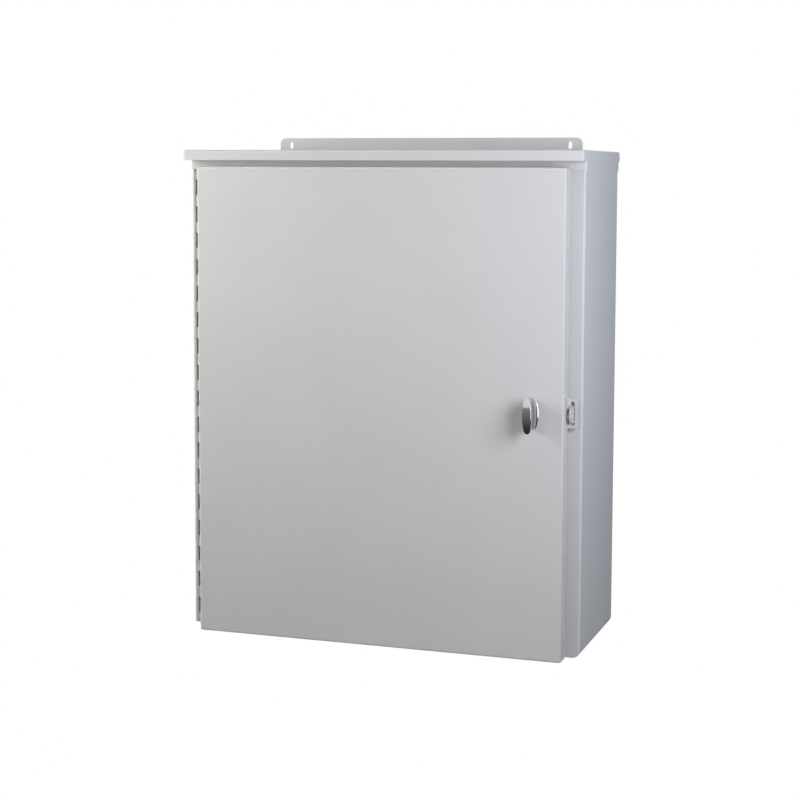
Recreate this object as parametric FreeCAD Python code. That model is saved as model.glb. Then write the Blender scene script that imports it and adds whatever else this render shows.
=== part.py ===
"""Wall-mounted outdoor electrical enclosure of folded sheet steel.

A folded body wrap with a flat back, a top pan and a drip cap carries a pan-shaped door on a
continuous hinge.  A wing knob turns a cam behind the right front flange, and a hasp plate on the
door slips over a padlock staple on the body.  An inner mounting panel stands on four collar studs.

Frame: millimetres, +X to the right of someone facing the door, +Y towards the wall, +Z up.
The origin lies on the wall face, in the middle of the back panel.
"""
import FreeCAD, Part
import math
import os

Vector = FreeCAD.Vector

# --- sheet metal ---------------------------------------------------------------------------
SHEET = 2.0                  # thickness of every folded steel sheet
FOLD_INSIDE = 2.0            # inside radius of an ordinary fold
CORNER_INSIDE = 13.0         # inside radius of the wrap's two bottom bends

# --- body ----------------------------------------------------------------------------------
BODY_WIDTH = 762.0           # across the two side walls
BODY_HEIGHT = 914.4          # underside of the body to the top of the drip cap
OVERALL_DEPTH = 304.8        # wall face to door face
RIGHT_FLANGE = 45.0          # front flange beside the latch
BOTTOM_FLANGE = 22.0         # front flange along the bottom
LEFT_FLANGE = 34.0           # set-back flange behind the hinge, from the outside of the wall
GUTTER_DEPTH = 12.0          # how far that flange is set back, as a rain channel
DRAIN_RADIUS = 3.2           # drain holes in the bottom
DRAIN_INSET = 40.0           # drain hole to side wall and to front

# --- drip cap and header -------------------------------------------------------------------
CAP_DROP = 19.0              # height of the cap's lip
CAP_REACH = 33.0             # lip ahead of the body's front flanges
HEADER_SHOW = 17.4           # height of the top pan that shows below the lip

# --- wall flanges of the back panel --------------------------------------------------------
WALL_FLANGE_WIDTH = 625.0
WALL_FLANGE_HEIGHT = 27.5    # beyond the body, above and below
WALL_FLANGE_RADIUS = 12.0
RELIEF_RADIUS = 1.5          # inside corners where the flange leaves the back
SLOT_WIDTH = 7.1
SLOT_LENGTH = 14.0
SLOT_END_INSET = 24.0        # slot to the flange's end
SLOT_RISE = 13.0             # slot centre beyond the body's end

# --- door ----------------------------------------------------------------------------------
DOOR_STAND = 37.0            # door face ahead of the body's front flanges
DOOR_GAP = 3.0               # back of the door to the body's front flanges
DOOR_SIDE_INSET = 26.0       # door edge to the body's side
DOOR_HEADROOM = 11.8         # top of the door below the cap's lip
DOOR_UNDERLAP = 1.3          # bottom of the door below the body
DOOR_LIP = 14.0              # returned lip along the door's back edge

# --- continuous hinge ----------------------------------------------------------------------
PIN_RADIUS = 1.75
PIN_FIT = 0.05               # running clearance of the pin in each knuckle
LEAF = 1.5                   # thickness of both leaves
BARREL_GAP = 0.3             # barrel to the front edge of the side wall
KNUCKLE_PITCH = 50.3
NOTCH_LENGTH = 28.6          # notch in the door leaf around one body knuckle
NOTCH_REACH = 8.0            # notch beyond the barrel
KNUCKLE_GAP = 0.4            # play at each end of a knuckle
END_KNUCKLE_MIN = 15.0
HINGE_HEADROOM = 0.5         # top of the hinge below the header
HINGE_FOOT = 6.0             # bottom of the hinge above the bottom of the body
LEAF_SEAT = 13.0             # how far the door leaf reaches along the door's lip
LEAF_STOP = 0.5              # body leaf to the set-back flange
PIN_RECESS = 0.5             # pin end inside the barrel end

# --- latch ---------------------------------------------------------------------------------
LATCH_INSET = 57.5           # knob axis to the door's right edge
LATCH_RISE = 6.5             # knob axis above the middle of the door
KNOB_HEIGHT = 66.0
KNOB_GRIP_WIDTH = 17.3
KNOB_BASE_WIDTH = 24.0
KNOB_BASE_HEIGHT = 60.0
KNOB_WAIST_WIDTH = 13.5
KNOB_WAIST_HEIGHT = 54.0
KNOB_WAIST_AT = 0.42         # waist and grip, as shares of the depth from the knob's back
KNOB_GRIP_AT = 0.80
KNOB_FLARE = 5               # how sharply the waist flares out to the base
KNOB_SECTIONS = 13           # ovals that the knob is skinned over
KNOB_REACH = 40.0            # front of the knob ahead of the door
KNOB_CROWN = 130.0           # radius of the crowned front, seen from the side
KNOB_EDGE = 1.6              # rounding of the front edge
KNOB_ENDS = 0.34             # end radius of the grip as a share of its width
KNOB_PLAY = 0.3              # knob to bushing flange, and spacer to bushing
SPINDLE_RADIUS = 5.0
SPINDLE_FIT = 0.08           # running clearance of the spindle in the bushing
SPINDLE_GRIP = 20.0          # length of spindle held in the knob
SPINDLE_SQUARE = 7.0         # square that drives the cam
SPINDLE_TIP_RADIUS = 3.0
SOCKET_FIT = 0.1             # clearance round pieces that turn together
BUSHING_RADIUS = 8.0
BUSHING_LENGTH = 16.0        # behind the door's sheet
BUSHING_FLANGE = 1.2
BUSHING_FLANGE_RADIUS = 12.5
BUSHING_HOLE_PLAY = 0.25     # door hole and nut round the bushing
BUSHING_NUT_ACROSS = 22.0
BUSHING_NUT_HEIGHT = 5.0
CAM_THICKNESS = 3.0
CAM_BITE = 13.0              # how far the turned cam reaches behind the flange
CAM_WIDTH = 18.0
CAM_GAP = 2.5                # cam to the back of the flange
CAM_TOE_WIDTH = 13.5
CAM_TOE_RADIUS = 3.0
CAM_HEEL_RADIUS = 8.1
SPINDLE_END = 2.0            # spindle tip beyond its nut
SPACER_RADIUS = 8.0

# --- padlock hasp and staple ---------------------------------------------------------------
HASP_HEIGHT = 54.0
HASP_REACH = 19.5            # beyond the door's edge
HASP_GAP = 3.7               # hasp to staple foot
HASP_CORNER = 3.0
HASP_FOLD = 1.0              # inside radius of its fold
HASP_SLOT_WIDTH = 6.5
HASP_SLOT_HEIGHT = 42.3
STAPLE_THICKNESS = 3.0
STAPLE_INSET = 15.75         # staple to the body's side
STAPLE_HEIGHT = 29.4
STAPLE_REACH = 23.5          # ahead of the hasp
STAPLE_NOSE = 11.0           # radius of the staple's front corners
STAPLE_FOOT = 8.0            # width of the foot welded to the flange
STAPLE_DROP = 1.5            # staple below the knob axis
SHACKLE_RADIUS = 5.5
SHACKLE_SETBACK = 10.5       # padlock hole behind the staple's front

# --- inside --------------------------------------------------------------------------------
PANEL_SIDE_GAP = 50.0        # mounting panel to the body's side
PANEL_END_GAP = 46.0         # mounting panel to the body's bottom, and to its top
PANEL_THICKNESS = 2.5
PANEL_CORNER = 8.0
PANEL_HOLE_INSET = 15.0
PANEL_HOLE_PLAY = 0.5
COLLAR_RADIUS = 8.0
COLLAR_LENGTH = 12.7
STUD_RADIUS = 4.0
STUD_LENGTH = 17.0           # beyond the collar
THREAD_PLAY = 0.15           # nut bore round its stud
WASHER_THICKNESS = 1.6
WASHER_RADIUS = 8.0
NUT_ACROSS = 13.0
NUT_HEIGHT = 6.5
NUT_CHAMFER = 0.7            # chamfer of a nut's corners as a share of their stand-out
GROUND_STUD_RADIUS = 3.0
GROUND_STUD_LENGTH = 18.0
GROUND_FOOT_RADIUS = 4.5
GROUND_FOOT_HEIGHT = 1.5
GROUND_NUT_ACROSS = 10.0
GROUND_NUT_HEIGHT = 5.0
GROUND_WASHER_RADIUS = 6.0
GROUND_WASHER_THICKNESS = 1.2
GROUND_INSET = 70.0          # body ground stud to the left wall
GROUND_SETBACK = 60.0        # body ground stud behind the front flanges
DOOR_GROUND_INSET = 50.0     # door ground stud to the door's left and bottom edges
STIFFENER_THICKNESS = 1.5
STIFFENER_CROWN = 32.0
STIFFENER_DEPTH = 18.0
STIFFENER_FOOT = 14.0
STIFFENER_END_GAP = 34.0     # stiffener to the door's top and bottom
POCKET_WIDTH = 270.0
POCKET_HEIGHT = 215.0
POCKET_DEPTH = 24.0
POCKET_WALL = 2.0
POCKET_RADIUS = 3.0
POCKET_FRONT_CUT = 45.0      # front wall below the back wall
POCKET_NOTCH_RADIUS = 35.0   # thumb notch in the front wall
POCKET_GAP = 13.0            # pocket to the stiffener
POCKET_DROP = 28.0           # top of the pocket below the middle of the door

# --- places that follow from the sizes above -------------------------------------------------
FOLD_OUTSIDE = FOLD_INSIDE + SHEET
CORNER_OUTSIDE = CORNER_INSIDE + SHEET
HALF_WIDTH = BODY_WIDTH / 2
BODY_BOTTOM = -BODY_HEIGHT / 2
BODY_TOP = BODY_HEIGHT / 2
BACK_FRONT = -SHEET                                 # front face of the back panel
DOOR_FRONT = -OVERALL_DEPTH
BODY_FRONT = DOOR_FRONT + DOOR_STAND                # front face of the body's flanges
FLANGE_BACK = BODY_FRONT + SHEET
GUTTER_FRONT = BODY_FRONT + GUTTER_DEPTH
HEM = 2 * SHEET                                     # doubled edge of the left wall
PAN_TOP = BODY_TOP - SHEET                          # the cap lies on the top pan
WALL_TOP = PAN_TOP - SHEET - FOLD_INSIDE            # side walls stop below the pan's fold
LIP_BOTTOM = BODY_TOP - CAP_DROP
HEADER_BOTTOM = LIP_BOTTOM - HEADER_SHOW
PAN_HALF_WIDTH = HALF_WIDTH + SHEET
CAP_HALF_WIDTH = PAN_HALF_WIDTH + SHEET

DOOR_HALF_WIDTH = HALF_WIDTH - DOOR_SIDE_INSET
DOOR_TOP = LIP_BOTTOM - DOOR_HEADROOM
DOOR_BOTTOM = BODY_BOTTOM - DOOR_UNDERLAP
DOOR_MIDDLE = (DOOR_TOP + DOOR_BOTTOM) / 2
DOOR_BACK = BODY_FRONT - DOOR_GAP
DOOR_INNER = DOOR_FRONT + SHEET                     # inner face of the door's front sheet

BARREL_RADIUS = PIN_RADIUS + PIN_FIT + LEAF
HINGE_X = -HALF_WIDTH + HEM + LEAF / 2
HINGE_Y = BODY_FRONT - BARREL_GAP - BARREL_RADIUS
HINGE_TOP = HEADER_BOTTOM - HINGE_HEADROOM
HINGE_BOTTOM = BODY_BOTTOM + HINGE_FOOT

STIFFENER_BRIM = STIFFENER_CROWN / 2 + STIFFENER_FOOT

LATCH_X = DOOR_HALF_WIDTH - LATCH_INSET
LATCH_Z = DOOR_MIDDLE + LATCH_RISE
KNOB_BACK = DOOR_FRONT - BUSHING_FLANGE - KNOB_PLAY
KNOB_FRONT = DOOR_FRONT - KNOB_REACH
BUSHING_END = DOOR_INNER + BUSHING_LENGTH
CAM_FRONT = FLANGE_BACK + CAM_GAP
CAM_BACK = CAM_FRONT + CAM_THICKNESS
CAM_LENGTH = HALF_WIDTH - RIGHT_FLANGE + CAM_BITE - LATCH_X

STAPLE_X = HALF_WIDTH - STAPLE_INSET
STAPLE_Z = LATCH_Z - STAPLE_DROP
HASP_BACK = BODY_FRONT - STAPLE_THICKNESS - HASP_GAP
HASP_FRONT = HASP_BACK - SHEET
STAPLE_FRONT = HASP_FRONT - STAPLE_REACH

COLLAR_FRONT = BACK_FRONT - COLLAR_LENGTH
PANEL_FRONT = COLLAR_FRONT - PANEL_THICKNESS
PANEL_HALF_WIDTH = HALF_WIDTH - PANEL_SIDE_GAP
PANEL_HALF_HEIGHT = BODY_HEIGHT / 2 - PANEL_END_GAP
PANEL_STUDS = [
    (side * (PANEL_HALF_WIDTH - PANEL_HOLE_INSET), end * (PANEL_HALF_HEIGHT - PANEL_HOLE_INSET))
    for side in (-1, 1)
    for end in (-1, 1)
]

ALONG_X = Vector(1, 0, 0)
ALONG_Y = Vector(0, 1, 0)
ALONG_Z = Vector(0, 0, 1)
THROUGH = 5.0                # how far a cutting tool runs past the sheet that it cuts
ROUND_END = 1e-3             # flat left between the two arcs of a slot's round end
NEAR = 1e-6                  # two coordinates this close are one


# --- general shapes --------------------------------------------------------------------------
def block(x_range, y_range, z_range):
    """Rectangular block between the low and high corner of each range."""
    size = [high - low for low, high in (x_range, y_range, z_range)]
    return Part.makeBox(*size, Vector(x_range[0], y_range[0], z_range[0]))


def rod(radius, start, length, direction):
    """Cylinder of a radius from a start point along a direction."""
    return Part.makeCylinder(radius, length, start, direction)


def ring(outer, inner, start, length, direction):
    """Tube with an outer and an inner radius."""
    return rod(outer, start, length, direction).cut(rod(inner, start, length, direction))


def rounded_wire(corners, radii):
    """Closed flat wire through the corners, each one rounded by its own radius."""
    count = len(corners)
    joints = []
    edges = []
    for index, (corner, radius) in enumerate(zip(corners, radii)):
        back = (corners[index - 1] - corner).normalize()
        ahead = (corners[(index + 1) % count] - corner).normalize()
        if radius == 0:
            joints.append((corner, corner))
            continue
        half_angle = back.getAngle(ahead) / 2
        setback = radius / math.tan(half_angle)
        bisector = (back + ahead).normalize()
        crest = corner + bisector * (radius / math.sin(half_angle) - radius)
        start = corner + back * setback
        end = corner + ahead * setback
        edges.append(Part.Arc(start, crest, end).toShape())
        joints.append((start, end))
    for index in range(count):
        leave = joints[index][1]
        arrive = joints[(index + 1) % count][0]
        if leave.distanceToPoint(arrive) > NEAR:
            edges.append(Part.LineSegment(leave, arrive).toShape())
    return Part.Wire(Part.__sortEdges__(edges))


def rounded_plate(corners, radii, thickness):
    """Plate over a rounded outline, thickened by a vector."""
    return Part.Face(rounded_wire(corners, radii)).extrude(thickness)


def upright_plate(points, radii, y_range):
    """Plate whose outline is given as (x, z) points, between two depths."""
    corners = [Vector(x, y_range[0], z) for x, z in points]
    return rounded_plate(corners, radii, Vector(0, y_range[1] - y_range[0], 0))


def upright_rectangle(x_range, z_range, radius, y_range):
    """Upright plate with four equal corners."""
    points = [(x_range[0], z_range[0]), (x_range[1], z_range[0])]
    points += [(x_range[1], z_range[1]), (x_range[0], z_range[1])]
    return upright_plate(points, [radius] * 4, y_range)


def fuse_all(shapes):
    """One solid from several that meet."""
    return shapes[0].multiFuse(shapes[1:]).removeSplitter()


def hex_prism(across, start, length, direction, reference):
    """Hexagonal prism across its flats, with one flat's corner along the reference."""
    radius = across / math.sqrt(3)
    side = direction.cross(reference)
    corners = []
    for index in range(6):
        angle = math.radians(60 * index)
        corners.append(start + reference * (radius * math.cos(angle)) + side * (radius * math.sin(angle)))
    return Part.Face(Part.makePolygon(corners + corners[:1])).extrude(direction * length)


def hex_nut(across, height, bore, start, direction, reference):
    """Hexagonal nut with chamfered corners and a plain bore."""
    prism = hex_prism(across, start, height, direction, reference)
    corner = across / math.sqrt(3)
    chamfer = (corner - across / 2) * NUT_CHAMFER
    turned = rod(corner, start, height, direction)
    rims = [edge for edge in turned.Edges if isinstance(edge.Curve, Part.Circle)]
    turned = turned.makeChamfer(chamfer, rims)
    return prism.common(turned).cut(rod(bore, start, height, direction))


# --- body ------------------------------------------------------------------------------------
def trough(half_width, bottom, corner, front, fold, back, top):
    """Block with two rounded bottom corners and rounded front edges, as the wrap's envelope."""
    points = [(-half_width, bottom), (half_width, bottom), (half_width, top), (-half_width, top)]
    shape = upright_plate(points, [corner, corner, 0, 0], (front, back))
    rim = [
        edge for edge in shape.Edges
        if abs(edge.BoundBox.YMax - front) < NEAR and edge.BoundBox.ZMin < top - NEAR
    ]
    return shape.makeFillet(fold, rim)


def body_wrap():
    """Side walls and bottom in one folded sheet, with its front flanges and hinge-side gutter."""
    envelope = trough(
        HALF_WIDTH, BODY_BOTTOM, CORNER_OUTSIDE, BODY_FRONT, FOLD_OUTSIDE, BACK_FRONT, WALL_TOP)
    hollow = trough(
        HALF_WIDTH - SHEET, BODY_BOTTOM + SHEET, CORNER_INSIDE, FLANGE_BACK, FOLD_INSIDE,
        BACK_FRONT + THROUGH, WALL_TOP + THROUGH)
    wrap = envelope.cut(hollow)
    opening = block(
        (-HALF_WIDTH + HEM, HALF_WIDTH - RIGHT_FLANGE),
        (BODY_FRONT - THROUGH, FLANGE_BACK + FOLD_INSIDE),
        (BODY_BOTTOM + BOTTOM_FLANGE, WALL_TOP + THROUGH))
    wrap = wrap.cut(opening)
    hem = block(
        (-HALF_WIDTH + SHEET, -HALF_WIDTH + HEM),
        (BODY_FRONT, GUTTER_FRONT + SHEET),
        (BODY_BOTTOM + BOTTOM_FLANGE, WALL_TOP))
    gutter = block(
        (-HALF_WIDTH + SHEET, -HALF_WIDTH + LEFT_FLANGE),
        (GUTTER_FRONT, GUTTER_FRONT + SHEET),
        (BODY_BOTTOM, WALL_TOP)).common(envelope)
    wrap = fuse_all([wrap, hem, gutter])
    for side in (-1, 1):
        centre = Vector(
            side * (HALF_WIDTH - DRAIN_INSET), BODY_FRONT + DRAIN_INSET, BODY_BOTTOM - THROUGH)
        wrap = wrap.cut(rod(DRAIN_RADIUS, centre, SHEET + 2 * THROUGH, ALONG_Z))
    return wrap


def wall_slot(x, z):
    """Upright slot for a wall screw."""
    half = SLOT_WIDTH / 2
    return upright_rectangle(
        (x - half, x + half), (z - SLOT_LENGTH / 2, z + SLOT_LENGTH / 2), half - ROUND_END,
        (BACK_FRONT - THROUGH, THROUGH))


def back_panel():
    """Flat back sheet whose top and bottom run on as wall flanges."""
    half = WALL_FLANGE_WIDTH / 2
    foot = BODY_BOTTOM - WALL_FLANGE_HEIGHT
    crest = BODY_TOP + WALL_FLANGE_HEIGHT
    points = [
        (-HALF_WIDTH, BODY_BOTTOM), (-half, BODY_BOTTOM), (-half, foot),
        (half, foot), (half, BODY_BOTTOM), (HALF_WIDTH, BODY_BOTTOM),
        (HALF_WIDTH, BODY_TOP), (half, BODY_TOP), (half, crest),
        (-half, crest), (-half, BODY_TOP), (-HALF_WIDTH, BODY_TOP),
    ]
    radii = [
        CORNER_OUTSIDE, RELIEF_RADIUS, WALL_FLANGE_RADIUS,
        WALL_FLANGE_RADIUS, RELIEF_RADIUS, CORNER_OUTSIDE,
        0, RELIEF_RADIUS, WALL_FLANGE_RADIUS,
        WALL_FLANGE_RADIUS, RELIEF_RADIUS, 0,
    ]
    sheet = upright_plate(points, radii, (BACK_FRONT, 0))
    slot_x = half - SLOT_END_INSET
    slot_z = BODY_HEIGHT / 2 + SLOT_RISE
    for side in (-1, 1):
        for end in (-1, 1):
            sheet = sheet.cut(wall_slot(side * slot_x, end * slot_z))
    return sheet


def hood(half_width, front, bottom, top):
    """Sheet pan open below and behind, with folded front and side skirts."""

    def envelope(inset, fold, extra):
        shape = block(
            (-half_width + inset, half_width - inset),
            (front + inset, BACK_FRONT + extra),
            (bottom - extra, top - inset))
        box = shape.BoundBox
        kept = [
            edge for edge in shape.Edges
            if edge.BoundBox.YMin < box.YMax - NEAR and edge.BoundBox.ZMax > box.ZMin + NEAR
        ]
        return shape.makeFillet(fold, kept)

    return envelope(0, FOLD_OUTSIDE, 0).cut(envelope(SHEET, FOLD_INSIDE, THROUGH))


def top_pan():
    """Top of the body; its skirts lie outside the walls and form the header."""
    return hood(PAN_HALF_WIDTH, BODY_FRONT - SHEET, HEADER_BOTTOM, PAN_TOP)


def drip_cap():
    """Rain cap over the top pan, with a lip ahead of the body."""
    return hood(CAP_HALF_WIDTH, BODY_FRONT - CAP_REACH, LIP_BOTTOM, BODY_TOP)


# --- continuous hinge --------------------------------------------------------------------------
def notch_levels():
    """Low and high level of every notch in the door leaf, centred on the hinge."""
    strap = KNUCKLE_PITCH - NOTCH_LENGTH
    length = HINGE_TOP - HINGE_BOTTOM
    count = int((length - 2 * END_KNUCKLE_MIN + strap) / KNUCKLE_PITCH)
    start = (HINGE_TOP + HINGE_BOTTOM - count * KNUCKLE_PITCH + strap) / 2
    return [
        (start + index * KNUCKLE_PITCH, start + index * KNUCKLE_PITCH + NOTCH_LENGTH)
        for index in range(count)
    ]


def knuckle(low, high):
    """Solid cylinder of the barrel between two levels."""
    return rod(BARREL_RADIUS, Vector(HINGE_X, HINGE_Y, low), high - low, ALONG_Z)


def pin_bore():
    """Tool for the bore through all the knuckles."""
    start = Vector(HINGE_X, HINGE_Y, HINGE_BOTTOM - THROUGH)
    return rod(PIN_RADIUS + PIN_FIT, start, HINGE_TOP - HINGE_BOTTOM + 2 * THROUGH, ALONG_Z)


def hinge_door_leaf():
    """Leaf behind the door's left lip, curled round the pin between its notches."""
    leaf = block(
        (HINGE_X, -DOOR_HALF_WIDTH + LEAF_SEAT),
        (DOOR_BACK, DOOR_BACK + LEAF),
        (HINGE_BOTTOM, HINGE_TOP))
    leaf = fuse_all([leaf, knuckle(HINGE_BOTTOM, HINGE_TOP)])
    notches = [
        block(
            (HINGE_X - 2 * BARREL_RADIUS, HINGE_X + BARREL_RADIUS + NOTCH_REACH),
            (HINGE_Y - 2 * BARREL_RADIUS, HINGE_Y + 2 * BARREL_RADIUS),
            levels)
        for levels in notch_levels()
    ]
    return leaf.cut(Part.makeCompound(notches)).cut(pin_bore())


def hinge_body_leaf():
    """Leaf inside the doubled edge of the left wall, with a knuckle in every notch."""
    x_range = (-HALF_WIDTH + HEM, -HALF_WIDTH + HEM + LEAF)
    plate_front = HINGE_Y + BARREL_RADIUS + KNUCKLE_GAP
    levels = notch_levels()
    plate = block(
        x_range, (plate_front, GUTTER_FRONT - LEAF_STOP), (levels[0][0] + KNUCKLE_GAP, HINGE_TOP))
    pieces = [plate]
    for low, high in levels:
        low += KNUCKLE_GAP
        high -= KNUCKLE_GAP
        pieces.append(knuckle(low, high))
        pieces.append(block(x_range, (HINGE_Y, plate_front), (low, high)))
    return fuse_all(pieces).cut(pin_bore())


def hinge_pin():
    """Straight pin through every knuckle."""
    start = Vector(HINGE_X, HINGE_Y, HINGE_BOTTOM + PIN_RECESS)
    return rod(PIN_RADIUS, start, HINGE_TOP - HINGE_BOTTOM - 2 * PIN_RECESS, ALONG_Z)


# --- door --------------------------------------------------------------------------------------
def rounded_block(inset, fold):
    """The door's envelope, set in on every side and rounded along every edge."""
    shape = block(
        (-DOOR_HALF_WIDTH + inset, DOOR_HALF_WIDTH - inset),
        (DOOR_FRONT + inset, DOOR_BACK - inset),
        (DOOR_BOTTOM + inset, DOOR_TOP - inset))
    return shape.makeFillet(fold, shape.Edges)


def door_panel():
    """Pan-shaped door: front sheet, four flanges and a returned lip, with the latch hole."""
    shell = rounded_block(0, FOLD_OUTSIDE).cut(rounded_block(SHEET, FOLD_INSIDE))
    window = block(
        (-DOOR_HALF_WIDTH + DOOR_LIP, DOOR_HALF_WIDTH - DOOR_LIP),
        (DOOR_BACK - SHEET - FOLD_INSIDE, DOOR_BACK + THROUGH),
        (DOOR_BOTTOM + DOOR_LIP, DOOR_TOP - DOOR_LIP))
    hole = rod(
        BUSHING_RADIUS + BUSHING_HOLE_PLAY, Vector(LATCH_X, DOOR_FRONT - THROUGH, LATCH_Z),
        SHEET + 2 * THROUGH, ALONG_Y)
    return shell.cut(window).cut(hole)


def door_stiffener():
    """Hat channel welded upright to the inside of the door."""
    crown = STIFFENER_CROWN / 2
    brim = STIFFENER_BRIM
    sheet = STIFFENER_THICKNESS
    back = DOOR_INNER + STIFFENER_DEPTH
    low = DOOR_BOTTOM + STIFFENER_END_GAP
    half_outline = [
        (brim, DOOR_INNER), (brim, DOOR_INNER + sheet), (crown, DOOR_INNER + sheet), (crown, back)]
    inner = [(crown - sheet, back - sheet), (crown - sheet, DOOR_INNER)]
    points = half_outline + [(-x, y) for x, y in reversed(half_outline)]
    points += [(-x, y) for x, y in reversed(inner)] + inner
    outside = 2 * sheet
    radii = [0, 0, sheet, outside, outside, sheet, 0, 0, outside, sheet, sheet, outside]
    corners = [Vector(x, y, low) for x, y in points]
    height = DOOR_TOP - STIFFENER_END_GAP - low
    return rounded_plate(corners, radii, Vector(0, 0, height))


def data_pocket():
    """Moulded pocket for drawings, open at the top, with a low front and a thumb notch."""
    right = -STIFFENER_BRIM - POCKET_GAP
    left = right - POCKET_WIDTH
    top = DOOR_MIDDLE - POCKET_DROP
    bottom = top - POCKET_HEIGHT
    back = DOOR_INNER + POCKET_DEPTH

    def tray(inset, radius, extra):
        shape = block(
            (left + inset, right - inset), (DOOR_INNER + inset, back - inset),
            (bottom + inset, top + extra))
        rim = [edge for edge in shape.Edges if edge.BoundBox.ZMin < top + extra - NEAR]
        rim = [edge for edge in rim if edge.BoundBox.YMax > shape.BoundBox.YMin + NEAR]
        return shape.makeFillet(radius, rim)

    pocket = tray(0, POCKET_RADIUS, 0).cut(tray(POCKET_WALL, POCKET_RADIUS - POCKET_WALL, THROUGH))
    rim_level = top - POCKET_FRONT_CUT
    opening = block(
        (left - THROUGH, right + THROUGH), (DOOR_INNER + POCKET_WALL, back + THROUGH),
        (rim_level, top + THROUGH))
    notch = rod(
        POCKET_NOTCH_RADIUS, Vector((left + right) / 2, DOOR_INNER + POCKET_WALL, rim_level),
        POCKET_DEPTH, ALONG_Y)
    return pocket.cut(opening).cut(notch)


def hasp_plate():
    """Angle welded to the door's right flange, slotted for the padlock staple."""
    low = LATCH_Z - HASP_HEIGHT / 2
    inner = DOOR_HALF_WIDTH
    outer = inner + HASP_REACH
    front = DOOR_FRONT + FOLD_OUTSIDE
    points = [
        (inner, front), (inner + SHEET, front), (inner + SHEET, HASP_FRONT),
        (outer, HASP_FRONT), (outer, HASP_BACK), (inner, HASP_BACK)]
    corners = [Vector(x, y, low) for x, y in points]
    angle = rounded_plate(
        corners, [0, 0, HASP_FOLD, 0, 0, HASP_FOLD + SHEET], Vector(0, 0, HASP_HEIGHT))
    outer_corners = [
        edge for edge in angle.Edges
        if edge.BoundBox.XMin > outer - NEAR and edge.BoundBox.ZLength < NEAR
    ]
    angle = angle.makeFillet(HASP_CORNER, outer_corners)
    slot = upright_rectangle(
        (STAPLE_X - HASP_SLOT_WIDTH / 2, STAPLE_X + HASP_SLOT_WIDTH / 2),
        (LATCH_Z - HASP_SLOT_HEIGHT / 2, LATCH_Z + HASP_SLOT_HEIGHT / 2),
        HASP_SLOT_WIDTH / 2 - ROUND_END,
        (HASP_FRONT - THROUGH, HASP_BACK + THROUGH))
    return angle.cut(slot)


def padlock_staple():
    """Eye plate that stands through the hasp, with a foot on the body's right flange."""
    left = STAPLE_X - STAPLE_THICKNESS / 2
    low = STAPLE_Z - STAPLE_HEIGHT / 2
    high = low + STAPLE_HEIGHT
    profile = [(BODY_FRONT, low), (STAPLE_FRONT, low), (STAPLE_FRONT, high), (BODY_FRONT, high)]
    corners = [Vector(left, y, z) for y, z in profile]
    ear = rounded_plate(corners, [0, STAPLE_NOSE, STAPLE_NOSE, 0], Vector(STAPLE_THICKNESS, 0, 0))
    foot = block(
        (left + STAPLE_THICKNESS - STAPLE_FOOT, left + STAPLE_THICKNESS),
        (BODY_FRONT - STAPLE_THICKNESS, BODY_FRONT), (low, high))
    hole = rod(
        SHACKLE_RADIUS, Vector(left - THROUGH, STAPLE_FRONT + SHACKLE_SETBACK, STAPLE_Z),
        STAPLE_THICKNESS + 2 * THROUGH, ALONG_X)
    return fuse_all([ear, foot]).cut(hole)


# --- latch -------------------------------------------------------------------------------------
def oval_wire(width, height, end_radius, y):
    """Upright oval of four tangent arcs about the latch axis."""
    half = width / 2
    end_rise = height / 2 - end_radius
    side_radius = (half ** 2 + end_rise ** 2 - end_radius ** 2) / (2 * (half - end_radius))
    lean = math.atan2(end_rise, side_radius - half)
    touch_x = end_radius * math.cos(lean)
    touch_z = end_rise + end_radius * math.sin(lean)

    def at(x, z):
        return Vector(LATCH_X + x, y, LATCH_Z + z)

    return Part.Wire([
        Part.Arc(at(touch_x, -touch_z), at(half, 0), at(touch_x, touch_z)).toShape(),
        Part.Arc(at(touch_x, touch_z), at(0, height / 2), at(-touch_x, touch_z)).toShape(),
        Part.Arc(at(-touch_x, touch_z), at(-half, 0), at(-touch_x, -touch_z)).toShape(),
        Part.Arc(at(-touch_x, -touch_z), at(0, -height / 2), at(touch_x, -touch_z)).toShape(),
    ])


def knob_outline(share):
    """Width and height of the knob at a share of its depth from the back."""
    waist = (KNOB_WAIST_WIDTH, KNOB_WAIST_HEIGHT)
    if share < KNOB_WAIST_AT:
        spread = (1 - share / KNOB_WAIST_AT) ** KNOB_FLARE
        end = (KNOB_BASE_WIDTH, KNOB_BASE_HEIGHT)
    else:
        rise = min(1, (share - KNOB_WAIST_AT) / (KNOB_GRIP_AT - KNOB_WAIST_AT))
        spread = rise ** 2 * (3 - 2 * rise)
        end = (KNOB_GRIP_WIDTH, KNOB_HEIGHT)
    return [inner + (outer - inner) * spread for inner, outer in zip(waist, end)]


def wing_knob():
    """Cast knob: oval base, narrow waist and an upright grip with a crowned front."""
    depth = KNOB_BACK - KNOB_FRONT
    skinned = depth + KNOB_EDGE     # the crown trims the last stretch
    wires = []
    for index in range(KNOB_SECTIONS):
        reach = skinned * index / (KNOB_SECTIONS - 1)
        width, height = knob_outline(reach / depth)
        wires.append(oval_wire(width, height, width * KNOB_ENDS, KNOB_BACK - reach))
    casting = Part.makeLoft(wires, True, False)
    crown = rod(
        KNOB_CROWN, Vector(LATCH_X - KNOB_HEIGHT, KNOB_FRONT + KNOB_CROWN, LATCH_Z),
        2 * KNOB_HEIGHT, ALONG_X)
    casting = casting.common(crown)
    front = min(casting.Faces, key=lambda face: face.CenterOfMass.y)
    casting = casting.makeFillet(KNOB_EDGE, front.Edges)
    socket = rod(
        SPINDLE_RADIUS + SOCKET_FIT, Vector(LATCH_X, KNOB_BACK - SPINDLE_GRIP - SOCKET_FIT, LATCH_Z),
        SPINDLE_GRIP + THROUGH, ALONG_Y)
    return casting.cut(socket)


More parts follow.
